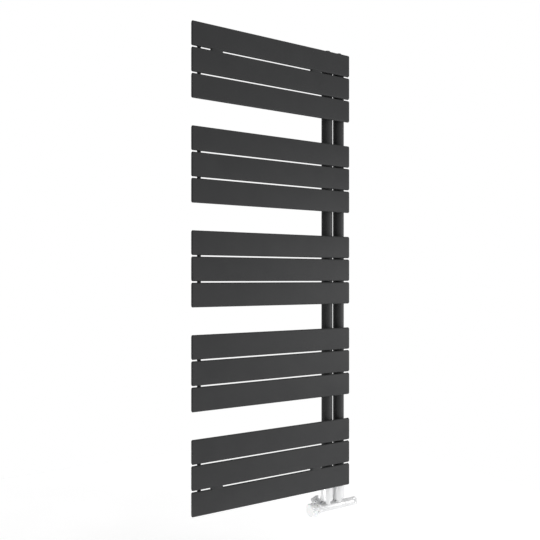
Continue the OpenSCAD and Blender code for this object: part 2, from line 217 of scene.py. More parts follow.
def rounded(corners, closed=False, steps=5):
    """Rounds the corners of a profile. A corner is (along, radius) or (along, radius, round)."""
    made = []
    count = len(corners)
    for i, corner in enumerate(corners):
        here = Vector(corner[:2])
        if len(corner) < 3 or (not closed and i in (0, count - 1)):
            made.append(tuple(here))
            continue
        before = (Vector(corners[i - 1][:2]) - here).normalized()
        after = (Vector(corners[(i + 1) % count][:2]) - here).normalized()
        half = math.acos(max(-1.0, min(1.0, before.dot(after)))) / 2
        reach = corner[2] / math.tan(half)
        centre = here + (before + after).normalized() * (corner[2] / math.sin(half))
        start = here + before * reach - centre
        end = here + after * reach - centre
        turn = math.atan2(start.x * end.y - start.y * end.x, start.dot(end))
        for k in range(steps + 1):
            a = turn * k / steps
            c, s = math.cos(a), math.sin(a)
            spot = centre + Vector((start.x * c - start.y * s, start.x * s + start.y * c))
            made.append(tuple(spot))
    return made


def hexagon(flats):
    """Radius of a hexagon of that width across flats, as a function of the angle."""

    def radius(angle):
        side = angle % (TAU / 6) - TAU / 12
        return flats / 2 / math.cos(side)

    return radius


def least(radius, limit):
    """The smaller of a radius function and a limit, which gives a nut its turned corners."""
    return lambda angle: min(radius(angle), limit)


def ridges(radius, count, depth):
    """Radius of a straight knurl with pointed ridges, as a function of the angle."""

    def at(angle):
        wave = abs(((angle * count / TAU) % 1) * 2 - 1)
        return radius - depth * wave

    return at


def hex_nut_profile(low, high, flats, bore, lip):
    """Closed profile of a hexagon nut with turned corners and a lip, which is (height, bore)."""
    outer = hexagon(flats)
    corner = flats / 2 / math.cos(TAU / 12)
    face = flats / 2 * 0.985
    deep = 1.6
    steps = 6
    profile = []
    for k in range(steps + 1):
        r = face + (corner - face) * k / steps
        profile.append((low + deep * k / steps, least(outer, r)))
    for k in reversed(range(steps + 1)):
        r = face + (corner - face) * k / steps
        profile.append((high - deep * k / steps, least(outer, r)))
    return profile + [(high, lip[1]), (lip[0], lip[1]), (lip[0], bore), (low, bore)]


# ---- Materials ----


NOISE_LOW, NOISE_HIGH = 0.3, 0.7  # nearly all values of a noise texture lie between these


class Nodes:
    """A new node material with its shader and short ways to add nodes."""

    def __init__(self, name):
        self.material = bpy.data.materials.new(name)
        self.material.use_nodes = True
        self.tree = self.material.node_tree
        self.shader = self.tree.nodes["Principled BSDF"]
        self.coords = self.tree.nodes.new("ShaderNodeTexCoord").outputs["Object"]

    def set(self, **values):
        for key, value in values.items():
            self.shader.inputs[key.replace("_", " ")].default_value = value

    def link(self, source, socket):
        self.tree.links.new(source, socket)

    def noise(self, scale, detail=2.0, roughness=0.5, stretch=None):
        node = self.tree.nodes.new("ShaderNodeTexNoise")
        node.inputs["Scale"].default_value = scale
        node.inputs["Detail"].default_value = detail
        node.inputs["Roughness"].default_value = roughness
        coords = self.coords
        if stretch:
            mapping = self.tree.nodes.new("ShaderNodeMapping")
            mapping.inputs["Scale"].default_value = stretch
            self.link(coords, mapping.inputs["Vector"])
            coords = mapping.outputs["Vector"]
        self.link(coords, node.inputs["Vector"])
        return node.outputs["Fac"]

    def ramp(self, source, low, high):
        """Colours from low to high, picked by a noise."""
        node = self.tree.nodes.new("ShaderNodeValToRGB")
        node.color_ramp.elements[0].position = NOISE_LOW
        node.color_ramp.elements[0].color = (*low, 1)
        node.color_ramp.elements[1].position = NOISE_HIGH
        node.color_ramp.elements[1].color = (*high, 1)
        self.link(source, node.inputs["Fac"])
        return node.outputs["Color"]

    def span(self, source, low, high):
        """Numbers from low to high, picked by a noise."""
        node = self.tree.nodes.new("ShaderNodeMapRange")
        node.inputs["From Min"].default_value = NOISE_LOW
        node.inputs["From Max"].default_value = NOISE_HIGH
        node.inputs["To Min"].default_value = low
        node.inputs["To Max"].default_value = high
        self.link(source, node.inputs["Value"])
        return node.outputs["Result"]

    def colour(self, source):
        self.link(source, self.shader.inputs["Base Color"])

    def rough(self, source):
        self.link(source, self.shader.inputs["Roughness"])

    def bump(self, *layers):
        """Stacks bump layers, each (height source, strength, depth in metres)."""
        normal = None
        for source, strength, depth in layers:
            node = self.tree.nodes.new("ShaderNodeBump")
            node.inputs["Strength"].default_value = strength
            node.inputs["Distance"].default_value = depth
            self.link(source, node.inputs["Height"])
            if normal:
                self.link(normal, node.inputs["Normal"])
            normal = node.outputs["Normal"]
        self.link(normal, self.shader.inputs["Normal"])


def powder_coat():
    """Matt anthracite powder coat: fine grain over a faint orange peel."""
    m = Nodes("anthracite_powder_coat")
    m.set(Specular_IOR_Level=0.25)
    m.colour(m.ramp(m.noise(14, 3), (0.0365, 0.037, 0.0382), (0.041, 0.0415, 0.0425)))
    m.rough(m.span(m.noise(320, 2), 0.47, 0.58))
    m.bump((m.noise(260, 2), 0.35, 0.00006), (m.noise(1900, 3, 0.6), 0.55, 0.00003))
    return m.material


def satin_chrome():
    """Pale satin chrome plate with the faintest lapping marks.

    The roughness stays over 0.28: the denoiser leaves dark specks where it dips below that.
    """
    m = Nodes("satin_chrome")
    m.set(Metallic=0.4, Specular_IOR_Level=0.4)
    m.colour(m.ramp(m.noise(60, 2), (0.78, 0.785, 0.79), (0.83, 0.83, 0.835)))
    m.rough(m.span(m.noise(900, 3, stretch=(1, 1, 0.25)), 0.285, 0.325))
    m.bump((m.noise(420, 2), 0.04, 0.00002))
    return m.material


def white_plastic():
    """White moulded plastic with a fine eroded texture."""
    m = Nodes("white_moulded_plastic")
    m.set(Specular_IOR_Level=0.45, Subsurface_Weight=0.06, Subsurface_Scale=0.002)
    m.colour(m.ramp(m.noise(40, 2), (0.84, 0.845, 0.84), (0.89, 0.89, 0.885)))
    m.rough(m.span(m.noise(700, 2), 0.34, 0.46))
    m.bump((m.noise(2600, 2), 0.25, 0.00002))
    return m.material


def bright_chrome():
    """Polished chrome with soft tarnish clouds."""
    m = Nodes("bright_chrome")
    m.set(Metallic=1.0)
    m.colour(m.ramp(m.noise(80, 3), (0.74, 0.75, 0.76), (0.82, 0.83, 0.84)))
    m.rough(m.span(m.noise(500, 3), 0.06, 0.14))
    m.bump((m.noise(700, 2), 0.05, 0.00002))
    return m.material


def zinc_steel():
    """Zinc-plated steel with cloudy crystal patches and drawing marks."""
    m = Nodes("zinc_plated_steel")
    m.set(Metallic=1.0)
    m.colour(m.ramp(m.noise(120, 4, 0.6), (0.46, 0.47, 0.48), (0.66, 0.66, 0.65)))
    m.rough(m.span(m.noise(400, 3), 0.28, 0.42))
    m.bump((m.noise(300, 3, stretch=(1, 6, 1)), 0.2, 0.00004))
    return m.material


def turned_brass():
    """Turned brass with fine tool marks and a little darkening."""
    m = Nodes("turned_brass")
    m.set(Metallic=1.0)
    m.colour(m.ramp(m.noise(90, 3), (0.55, 0.39, 0.16), (0.72, 0.54, 0.26)))
    m.rough(m.span(m.noise(350, 2), 0.28, 0.38))
    m.bump((m.noise(1500, 2, stretch=(1, 0.1, 0.1)), 0.2, 0.00003))
    return m.material


def seal_rubber():
    """Black sealing rubber with a dusty bloom."""
    m = Nodes("black_seal_rubber")
    m.set(Specular_IOR_Level=0.3)
    m.colour(m.ramp(m.noise(150, 3), (0.012, 0.012, 0.012), (0.028, 0.028, 0.027)))
    m.rough(m.span(m.noise(500, 2), 0.6, 0.78))
    m.bump((m.noise(1400, 2), 0.3, 0.00004))
    return m.material


def print_ink():
    """Grey ink of the scale marks."""
    m = Nodes("grey_print_ink")
    m.colour(m.ramp(m.noise(900, 2), (0.13, 0.13, 0.135), (0.18, 0.18, 0.185)))
    m.rough(m.span(m.noise(700, 2), 0.45, 0.6))
    m.bump((m.noise(2500, 2), 0.15, 0.00001))
    return m.material


PAINT = powder_coat()
VALVE_METAL = satin_chrome()
PLASTIC = white_plastic()
CHROME = bright_chrome()
STEEL = zinc_steel()
BRASS = turned_brass()
RUBBER = seal_rubber()
INK = print_ink()
SLOT_MATERIALS = {
    "anthracite_paint": PAINT,
    "valve_finish": VALVE_METAL,
    "white_plastic": PLASTIC,
    "chrome_plate": CHROME,
    "bare_steel": STEEL,
    "brass": BRASS,
    "seal_rubber": RUBBER,
}


def dress_cad_nodes():
    """Gives every CAD node the material of its slot; the hidden inner ones keep it."""
    for part in frame["record"]["subparts"]:
        obj = frame["nodes"][part["node"]]
        obj.data.materials.clear()
        obj.data.materials.append(SLOT_MATERIALS[part["material_slot"]])
        smooth(obj.data)


# ---- Panels ----


def flat_oval(x, y, z, height, depth, arc_steps=10):
    """Ring of points round an upright flat oval at one x."""
    r = depth / 2
    ring = []
    for half in (1, -1):
        for k in range(arc_steps + 1):
            a = math.pi * k / arc_steps
            across = r * math.cos(a) * half
            up = half * (height / 2 - r) + r * math.sin(a) * half
            ring.append(Vector((x, y + across, z + up)))
    return ring


def panel_shell(number):
    """One panel, between its two end plates."""
    low, high = box_mm(panel_name(number))
    z = PANEL_ZS[number - 1]
    length = high.x - low.x
    bays = 12
    xs = [low.x + length * k / bays for k in range(bays + 1)]
    rings = [flat_oval(x, PANEL_Y, z, PANEL_H, PANEL_T) for x in xs]
    shells = Shells().loft(rings)
    name = f"panel_shell_{number:02d}"
    add_piece(name, shells, PAINT, "radiator", (panel_name(number),))


def end_caps(side):
    """Flat plates that close the panels, with corners rounded in the front view."""
    node = f"panel_ends_{side}"
    low, high = box_mm(node)
    joint, tip = (high.x, low.x) if side == "left" else (low.x, high.x)
    corner, ease = 3.0, 0.8
    steps = 8
    shells = Shells()
    for z in PANEL_ZS:
        rings = []
        for k in range(steps + 1):
            a = math.pi / 2 * k / steps
            x = joint + (tip - joint) * math.sin(a)
            height = PANEL_H - 2 * corner * (1 - math.cos(a)) ** 1.3
            depth = PANEL_T - 2 * ease * (1 - math.cos(a)) ** 3
            rings.append(flat_oval(x, PANEL_Y, z, height, depth))
        shells.loft(rings)
    add_piece(f"end_caps_{side}", shells, PAINT, "radiator", (node,), 40)


# ---- Pipes and their fittings ----


def pipe_tube(side, x):
    """One upright pipe, between its end rings."""
    node = f"{side}_manifold"
    low, high = box_mm(node)
    wall = 1.5
    profile = [
        (low.z, PIPE_R - wall),
        (low.z, PIPE_R),
        (high.z, PIPE_R),
        (high.z, PIPE_R - wall),
    ]
    shells = Shells().turned(profile, Vector((x, PIPE_Y, 0)), steps=96, bored=True)
    add_piece(f"{side}_pipe", shells, PAINT, "radiator", (node,))


def pipe_end_rings(name, node, top):
    """Threaded rings in the pipe ends, with a rounded rim and the weld that holds them."""
    low, high = box_mm(node)
    out, far = (high.z, low.z) if top else (low.z, high.z)
    bore = 9.3
    seam_r, seam_steps = PIPE_R - 0.5, 120
    ring = rounded([(far, bore), (far, PIPE_R), (out, PIPE_R, 2.2), (out, bore, 0.6)], closed=True)
    shells = Shells()
    for x in PIPE_XS:
        centre = Vector((x, PIPE_Y, 0))
        shells.turned(ring, centre, steps=96, bored=True)
        seam = []
        for k in range(seam_steps):
            a = TAU * k / seam_steps
            seam.append(centre + Vector((math.cos(a) * seam_r, math.sin(a) * seam_r, far)))
        shells.bead(seam, 0.8, closed=True, up=(0, 0, 1), sides=8)
    add_piece(name, shells, PAINT, "radiator", (node,))


def panel_joints(side, x, rise):
    """Short tubes from the panels to one pipe, each with its weld."""
    node = f"{side}_nipples"
    low, high = box_mm(node)
    radius, bore = 9.0, 6.5
    weld_r, weld_steps = radius + 1.6, 60
    shells = Shells()
    for z in PANEL_ZS:
        centre = Vector((x, 0, z + rise))
        profile = [(low.y, bore), (low.y, radius), (high.y, radius), (high.y, bore)]
        shells.turned(profile, centre, axis="y", steps=48, bored=True)
        weld = []
        for k in range(weld_steps):
            a = TAU * k / weld_steps
            across = weld_r * math.cos(a)
            gap = PIPE_R - math.sqrt(PIPE_R**2 - across**2)
            weld.append(centre + Vector((across, PANEL_BACK + gap / 2, weld_r * math.sin(a))))
        shells.bead(weld, 1.9, closed=True)
    add_piece(f"{side}_joints", shells, PAINT, "radiator", (node,), 60)


def stay_bar(number):
    """Upright bar behind one group, tacked to each panel on both sides."""
    node = f"stay_{number}"
    low, high = box_mm(node)
    radius = (high.x - low.x) / 2
    centre = Vector(((low.x + high.x) / 2, (low.y + high.y) / 2, 0))
    profile = rounded([(low.z, 0.5), (low.z, radius, 1.8), (high.z, radius, 1.8), (high.z, 0.5)])
    shells = Shells().turned(profile, centre, steps=48)
    first = (number - 1) * PER_GROUP
    tack, steps, off_axis = 26, 26, 3.4
    for z in PANEL_ZS[first : first + PER_GROUP]:
        for side in (-1, 1):
            x, y = centre.x + side * off_axis, PANEL_BACK + 1.0
            path = [Vector((x, y, z - tack / 2 + tack * k / steps)) for k in range(steps + 1)]
            shells.bead(path, 1.6)
    add_piece(f"stay_bar_{number}", shells, PAINT, "radiator", (node,), 50)


SEAL_ROOM = 1.2  # height and depth of the recess for the seal under a top plug's head


def plug_foot(low):
    """Height of a top plug's seat, and the profile of its shank and seal recess."""
    shank = 9.3
    seat = box_mm("manifold_top_caps")[1].z
    outline = [
        (low.z, 1.5),
        (low.z, shank, 1.0),
        (seat + SEAL_ROOM, shank),
        (seat + SEAL_ROOM, shank + SEAL_ROOM),
        (seat, shank + SEAL_ROOM),
    ]
    return seat, rounded(outline, steps=6)


def plug_rim(seat, head, knurl_top):
    """Profile of the coin-edged side of a top plug's head."""
    grip = ridges(head, 40, 0.35)
    start = [(seat + SEAL_ROOM, head), (seat + 1.5, grip)]
    return start + [(knurl_top, grip), (knurl_top + 0.3, head)]


def blanking_plug():
    """Blank plug with a coin-edged head and a hexagon socket."""
    low, high = box_mm("blanking_plug")
    head = (high.x - low.x) / 2
    seat, foot = plug_foot(low)
    crown = rounded([(high.z - 1.8, head), (high.z, head - 0.2, 1.3), (high.z, 6.2, 0.4)])
    profile = foot + plug_rim(seat, head, high.z - 2.4) + crown + [(high.z - 0.4, 5.8)]
    hole = hexagon(8.66)
    floor = high.z - 5
    profile += [(high.z - 0.5, hole), (floor, hole), (floor - 0.6, 0.4)]
    shells = Shells().turned(profile, Vector((SUPPLY.x, PIPE_Y, 0)), steps=240)
    add_piece("blank_plug", shells, PAINT, "radiator", ("blanking_plug",))


def air_vent():
    """Bleed plug with its side outlet, and the slotted brass screw in its middle."""
    low, high = box_mm("air_vent_body")
    centre = Vector((RETURN.x, PIPE_Y, 0))
    head, bore = (high.x - low.x) / 2, 3.05
    seat, foot = plug_foot(low)
    crown = rounded([(high.z - 2.8, head), (high.z, head - 1.6, 0.6), (high.z, bore + 0.4)])
    hollow = [(high.z - 0.4, bore), (high.z - 12, bore), (high.z - 12, 1.5)]
    profile = foot + plug_rim(seat, head, high.z - 3.4) + crown + hollow
    shells = Shells().turned(profile, centre, steps=240, bored=True)
    spout = rounded([(head - 1, 1.0), (head - 1, 1.8), (head + 0.1, 1.8, 0.2), (head + 0.1, 1.0)])
    outlet = centre + Vector((0, 0, (seat + high.z) / 2))
    shells.turned(spout, outlet, axis="y", steps=32, bored=True)
    add_piece("vent_plug", shells, PAINT, "radiator", ("air_vent_body",))
    vent_screw(centre)


def vent_screw(centre):
    """Pointed screw with a driver slot across its top."""
    low, high = box_mm("air_vent_screw")
    radius = (high.x - low.x) / 2
    half_slot, slot_floor = 0.6, high.z - 1.5
    inner = 1.9

    def slotted(height, r):
        """That height, or the slot's floor where the slot crosses a circle of radius r."""
        return lambda angle: slot_floor if abs(r * math.sin(angle)) < half_slot else height

    profile = [
        (low.z, 0.4),
        (low.z + 1.6, radius - 0.9),
        (low.z + 1.6, radius),
        (slotted(high.z - 0.25, radius), radius),
        (slotted(high.z, radius), radius - 0.25),
        (slotted(high.z, inner), inner),
        (slot_floor, 0.5),
    ]
    shells = Shells().turned(profile, centre, steps=96)
    add_piece("vent_key", shells, BRASS, "vent_screw", ("air_vent_screw",), 25)


# ---- Wall brackets ----

LUG_W = 38.0
LUG_PLATE_H = 34.0
LUG_PLATE_T = 4.0
LUG_BOSS_R = 12.0
LUG_BOSS_LEN = 12.0
STEM_R = 7.94
GRUB_BACK = 8.0  # from a socket's front rim to the axis of its grub screw


def bracket_places():
    """Middle of each of the four brackets, on the wall."""
    low, high = box_mm("bracket_lugs")
    plate_x = LUG_W / 2
    plate_z = LUG_PLATE_H / 2
    for x in (low.x + plate_x, high.x - plate_x):
        for z in (low.z + plate_z, high.z - plate_z):
            yield Vector((x, WALL_Y, z))


def rounded_slab(shells, centre, width, height, y_front, y_back, corner, edge):
    """Upright plate with rounded corners and eased edges, as rings from front to back."""
    corner_steps = 6

    def ring(y, cut):
        points = []
        r = corner - cut
        for quarter, (sx, sz) in enumerate(((1, 1), (-1, 1), (-1, -1), (1, -1))):
            cx = centre.x + sx * (width / 2 - corner)
            cz = centre.z + sz * (height / 2 - corner)
            for k in range(corner_steps + 1):
                a = TAU / 4 * (quarter + k / corner_steps)
                points.append(Vector((cx + r * math.cos(a), y, cz + r * math.sin(a))))
        return points

    ease = [(0.0, 1.0), (0.3, 0.3), (1.0, 0.0)]
    rings = [ring(y_front + edge * a, edge * b) for a, b in ease]
    rings += [ring(y_back - edge * a, edge * b) for a, b in reversed(ease)]
    shells.loft(rings)


def tongue(shells, centre, y_front):
    """Filler between two panels, which follows their rounded edges to a nearly flush front."""
    r = PANEL_T / 2
    gap = PANEL_ZS[0] - PANEL_ZS[1] - PANEL_H
    steps = 12

    def ring(x, set_back):
        top = []
        for k in range(steps + 1):
            y = y_front + set_back + (PANEL_BACK - y_front - set_back) * k / steps
            off = abs(y - PANEL_Y)
            top.append((y, gap / 2 + min(2.6, r - math.sqrt(max(0.0, r * r - off * off)))))
        path = top + [(y, -h) for y, h in reversed(top)]
        return [Vector((x, y, centre.z + h)) for y, h in path]

    half = LUG_W / 2
    ease = [(half, 0.7), (half - 0.25, 0.2), (half - 0.8, 0.0)]
    rings = [ring(centre.x - a, b) for a, b in ease]
    rings += [ring(centre.x + a, b) for a, b in reversed(ease)]
    shells.loft(rings)


def bracket_lugs():
    """Tongue between two panels, with a welded plate and a boss for the stem behind."""
    front = box_mm("bracket_lugs")[0].y
    plate_back = PANEL_BACK + LUG_PLATE_T
    seam, steps = 28, 36
    shells = Shells()
    for spot in bracket_places():
        tongue(shells, spot, front)
        rounded_slab(shells, spot, LUG_W, LUG_PLATE_H, PANEL_BACK, plate_back, 4.0, 0.7)
        boss = rounded(
            [
                (plate_back, STEM_R),
                (plate_back, LUG_BOSS_R + 1.5),
                (plate_back + 0.5, LUG_BOSS_R + 0.4),
                (plate_back + 1.5, LUG_BOSS_R),
                (plate_back + LUG_BOSS_LEN, LUG_BOSS_R, 1.2),
                (plate_back + LUG_BOSS_LEN, STEM_R, 0.4),
            ],
            closed=True,
        )
        shells.turned(boss, Vector((spot.x, 0, spot.z)), axis="y", bored=True)
        for side in (-1, 1):
            y, z = PANEL_BACK + 1.0, side * (LUG_PLATE_H / 2 + 0.6)
            path = [
                spot + Vector((seam * k / steps - seam / 2, y, z)) for k in range(steps + 1)
            ]
            shells.bead(path, 1.7)
    add_piece("lug_set", shells, PAINT, "radiator", ("bracket_lugs",), 40)


def bracket_stems():
    """Round bars that slide in the wall sockets."""
    low, high = box_mm("bracket_stems")
    shells = Shells()
    for spot in bracket_places():
        profile = rounded(
            [(low.y, 0.5), (low.y, STEM_R, 0.4), (high.y, STEM_R, 1.2), (high.y, 0.5)]
        )
        shells.turned(profile, Vector((spot.x, 0, spot.z)), axis="y")
    add_piece("stem_set", shells, STEEL, "radiator", ("bracket_stems",))


def wall_sockets():
    """Cups screwed to the wall: a flange with a rounded rim, and a tube for the stem."""
    front = box_mm("wall_sockets")[0].y
    bore, tube, flange, floor, hole = 8.0, 12.0, 22.0, 5.0, 3.25
    shells = Shells()
    for spot in bracket_places():
        profile = rounded(
            [
                (WALL_Y, hole),
                (WALL_Y, flange, 0.5),
                (-floor, flange, 2.6),
                (-floor - 0.8, tube + 1.6, 1.2),
                (-floor - 3.4, tube, 1.5),
                (front, tube, 1.4),
                (front, bore, 0.6),
                (-floor, bore, 0.8),
                (-floor, hole, 0.4),
            ],
            closed=True,
        )
        shells.turned(profile, Vector((spot.x, 0, spot.z)), axis="y", steps=80, bored=True)
        lock = Vector((spot.x, front + GRUB_BACK, spot.z))
        collar = rounded([(-tube - 0.3, 2.5), (-tube - 0.3, 4.2, 0.3), (-tube + 1, 4.4)])
        shells.turned(collar + [(-tube + 1, 2.5)], lock, steps=40, bored=True)
    add_piece("socket_set", shells, PAINT, "wall_mount", ("wall_sockets",))


def grub_screws():
    """Screws under the sockets, with a hexagon hole, which lock the stems."""
    y = box_mm("wall_sockets")[0].y + GRUB_BACK
    end, tip, radius = -13.5, -STEM_R - 0.3, 2.5
    hole = hexagon(2.6)
    profile = [
        (tip, 0.3),
        (tip, 1.9),
        (tip - 0.6, radius),
        (end + 0.5, radius),
        (end, 2.1),
        (end, hole),
        (end + 2.4, hole),
        (end + 2.8, 0.3),
    ]
    shells = Shells()
    for spot in bracket_places():
        shells.turned(profile, Vector((spot.x, y, spot.z)), steps=48)
    add_piece("lock_screws", shells, STEEL, "wall_mount", ("socket_grub_screws",))


# ---- Twin valve ----

BARREL_HALF = 52.0
SLEEVE_R = 21.0
NUT_FLATS = 29.96
TAIL_R = 7.5
STUB_R = 12.0
THREAD_R = 13.2
REAR_NUT = (22.0, 41.0)
REAR_STUB = 30.0


def at_port(side):
    """Middle of the barrel under one pipe; side is -1 for the supply and 1 for the return."""
    return VALVE + Vector((side * PORT, 0, 0))


def saddle(shells, centre, axis, radius, size=1.5):
    """Cast fillet where a round stub leaves the barrel."""
    path = []
    for k in range(64):
        a = TAU * k / 64
        u, v = radius * math.cos(a), radius * math.sin(a)
        rise = math.sqrt(BARREL_R**2 - v * v)
        path.append(centre + Vector((u, v, rise) if axis == "z" else (u, rise, v)))
    up = (0, 0, 1) if axis == "z" else (0, 1, 0)
    shells.bead(path, size, closed=True, up=up, sides=12, ripple=0.0)


def valve_barrel():
    """Barrel with turned end collars, and four stubs that grow out of it in fillets."""
    r = BARREL_R
    half = BARREL_HALF
    bore, stub_bore, stub_start = 10.0, 6.2, 6
    outline = [(-half, bore), (-half, r, 0.7), (-half + 5.5, r, 0.3), (-half + 6.1, r - 0.7)]
    outline += [(-half + 7.2, r - 0.7), (-half + 7.8, r, 0.3)]
    outline += [(half - 7.8, r, 0.3), (half - 7.2, r - 0.7), (half - 6.1, r - 0.7)]
    outline += [(half - 5.5, r, 0.3), (half, r, 0.7), (half, bore)]
    shells = Shells().turned(rounded(outline, closed=True), VALVE, "x", 96, bored=True)
    stub_top = middle("union_seals").z - VALVE.z - 0.75
    for side in (-1, 1):
        centre = at_port(side)
        up = rounded(
            [
                (stub_start, stub_bore),
                (stub_start, STUB_R),
                (stub_top - 12.6, STUB_R, 0.4),
                (stub_top - 12, THREAD_R, 0.3),
                (stub_top, THREAD_R, 0.5),
                (stub_top, stub_bore),
            ],
            closed=True,
        )
        shells.turned(up, centre, "z", 72, bored=True)
        back = rounded(
            [
                (stub_start, stub_bore),
                (stub_start, STUB_R),
                (REAR_STUB - 9, STUB_R),
                (REAR_STUB - 9, THREAD_R),
                (REAR_STUB, THREAD_R, 0.5),
                (REAR_STUB, stub_bore),
            ],
            closed=True,
        )
        shells.turned(back, centre, "y", 72, bored=True)
        saddle(shells, centre, "z", STUB_R)
        saddle(shells, centre, "y", STUB_R)
    add_piece("twin_valve_body", shells, VALVE_METAL, "radiator", ("valve_body",))


def sleeves():
    """Thin sleeves over the union nuts, with a rounded lip turned in at the bottom."""
    low, high = box_mm("masking_sleeves")
    r, wall, lip = SLEEVE_R, 1.5, 3.4
    outline = [
        (low.z, r - lip, 0.3),
        (low.z, r, 2.6),
        (high.z, r, 0.5),
        (high.z, r - wall, 0.3),
        (low.z + 2.6, r - wall, 1.2),
        (low.z + 0.8, r - lip, 0.3),
    ]
    shells = Shells()
    for x in PIPE_XS:
        shells.turned(rounded(outline, closed=True), Vector((x, PIPE_Y, 0)), "z", 96, bored=True)
    add_piece("nut_sleeves", shells, VALVE_METAL, "radiator", ("masking_sleeves",))


def valve_nuts():
    """Union nuts under the pipes, and compression nuts behind the barrel."""
    low, high = box_mm("union_nuts")
    profile = hex_nut_profile(low.z, high.z, NUT_FLATS, THREAD_R, (high.z - 3, 8.3))
    unions, rear = Shells(), Shells()
    for x in PIPE_XS:
        unions.turned(profile, Vector((x, PIPE_Y, 0)), "z", 96, bored=True)
    add_piece("union_nut_pair", unions, CHROME, "radiator", ("union_nuts",))
    profile = hex_nut_profile(*REAR_NUT, NUT_FLATS, THREAD_R, (REAR_STUB + 4, TAIL_R))
    for side in (-1, 1):
        rear.turned(profile, at_port(side), "y", 96, bored=True)
    replaced = ("compression_nuts",)
    add_piece("rear_nut_pair", rear, VALVE_METAL, "radiator", replaced)


def tails_and_rosettes():
    """Pipes from the rear nuts into the wall, and the domed plates round them."""
    low, high = box_mm("wall_tails")
    rim = box_mm("wall_rosettes")[0].y
    flange = 23.0
    tails, plates = Shells(), Shells()
    for side in (-1, 1):
        centre = at_port(side) - Vector((0, PIPE_Y, 0))
        groove = [(0.0, TAIL_R), (0.15, TAIL_R - 0.28), (0.85, TAIL_R - 0.28), (1.0, TAIL_R)]
        outline = [(low.y, TAIL_R - 1), (low.y, TAIL_R)] + groove
        outline += [(high.y, TAIL_R, 0.4), (high.y, TAIL_R - 1, 0.3)]
        tails.turned(rounded(outline, closed=True), centre, "y", 64, bored=True)
        dome = [
            (0.0, 7.8),
            (0.0, flange, 0.4),
            (-1.8, flange, 1.0),
            (-3.2, 20.6, 3.0),
            (-6.2, 14.0, 3.0),
            (rim, 12.6, 0.7),
            (rim, 8.6, 0.5),
            (-6.8, 7.8, 0.3),
        ]
        plates.turned(rounded(dome, closed=True), centre, "y", 96, bored=True)
    add_piece("pipe_tails", tails, VALVE_METAL, "radiator", ("wall_tails",))
    add_piece("rosettes", plates, VALVE_METAL, "wall_mount", ("wall_rosettes",))


# ---- Thermostat head, drawn along +x and mirrored to the left ----

HEAD_R = 22.0
CAP_IN = 71.5
CAP_OUT = 98.5
POINTER = math.radians(135)
SETTING_STEP = math.radians(50)
REST_SETTING = 3


def flutes(radius, depth):
    """Radius of the grip as a function of the angle: scooped flutes between broad lands."""
    count = 24
    half_flute = 0.36

    def at(angle):
        phase = ((angle * count / TAU + 0.5) % 1) - 0.5
        scoop = max(0.0, 1 - (phase / half_flute) ** 2)
        return radius - depth * scoop

    return at


def head_nut():
    """Knurled ring nut that holds the head on the barrel."""
    r = 16.0
    grip = ridges(r, 60, 0.55)
    profile = [(55, 14.0), (55, 15.0), (55.5, r - 0.55), (56.3, r - 0.5), (56.6, grip)]
    profile += [(66.4, grip), (66.7, r - 0.5), (67.6, r - 0.55), (68.5, 14.6), (68.5, 12.0)]
    profile += [(66.0, 12.0), (66.0, 14.0)]
    shells = Shells().turned(profile, VALVE, "x", 360, bored=True, flip=-1)
    add_piece("head_ring_nut", shells, VALVE_METAL, "radiator", ("head_nut",))


def head_base():
    """Fixed collar behind the cap, with a raised pointer that the numbers turn past."""
    outline = [
        (64, 4.2),
        (64, 13.9),
        (66, 13.9),
        (66, 12.0),
        (69, 12.0, 0.5),
        (69, HEAD_R - 0.6, 0.4),
        (70.9, HEAD_R - 0.3, 0.4),
        (71, 19.3),
        (93.5, 19.3, 0.8),
        (93.5, 12.1),
        (72, 12.1),
        (72, 4.2),
    ]
    shells = Shells().turned(rounded(outline, closed=True), VALVE, "x", 120, bored=True, flip=-1)
    add_piece("head_collar", shells, PLASTIC, "radiator", ("head_base",))
    mark = Shells()
    wedge = [(69.15, 0.075), (69.15, -0.075), (70.85, 0.0)]
    rings = []
    for r in (HEAD_R - 1.2, HEAD_R - 0.02):
        ring = []
        for x, turn in wedge:
            a = POINTER + turn
            ring.append(VALVE + Vector((-x, r * math.cos(a), r * math.sin(a))))
        rings.append(ring)
    mark.loft(rings)
    add_piece("head_pointer", mark, INK, "radiator")


def head_cap():
    """The turning grip, with a smooth numbered band, flutes and a slightly domed end."""
    band = HEAD_R - 0.12
    start, flute = 80.5, 1.15
    outer = [(CAP_IN, band - 0.35), (CAP_IN + 0.4, band), (start - 1.2, band)]
    outer += [(start - 0.9, band - 0.35), (start - 0.5, band - 0.35), (start - 0.2, HEAD_R - 0.05)]
    for k in range(5):
        deep = flute * math.sin(k * math.pi / 8)
        outer.append((start + 0.2 + 0.6 * k, flutes(HEAD_R, deep)))
    edge, steps = 2.6, 8
    for k in range(steps + 1):
        a = math.pi / 2 * k / steps
        r = HEAD_R - edge * (1 - math.cos(a))
        deep = flute * math.cos(a) ** 0.7
        outer.append((CAP_OUT - edge + edge * math.sin(a), flutes(r, deep)))
    end = rounded(
        [
            (CAP_OUT, HEAD_R - edge - 0.4),
            (CAP_OUT, 17.6, 0.2),
            (CAP_OUT - 0.6, 17.2, 0.2),
            (CAP_OUT - 0.6, 16.8, 0.2),
            (CAP_OUT - 0.1, 16.3, 0.3),
            (CAP_OUT - 0.5, 8.0, 6.0),
            (CAP_OUT - 0.8, 0.4),
        ]
    )
    bore = 19.8
    inner = [(CAP_OUT - 2.5, 0.4), (CAP_OUT - 2.5, bore), (CAP_IN, bore)]
    profile = inner + outer + end
    shells = Shells().turned(profile, VALVE, "x", 384, flip=-1)
    add_piece("head_grip", shells, PLASTIC, "thermostat_cap", ("head_cap",), 40)
    numbers()


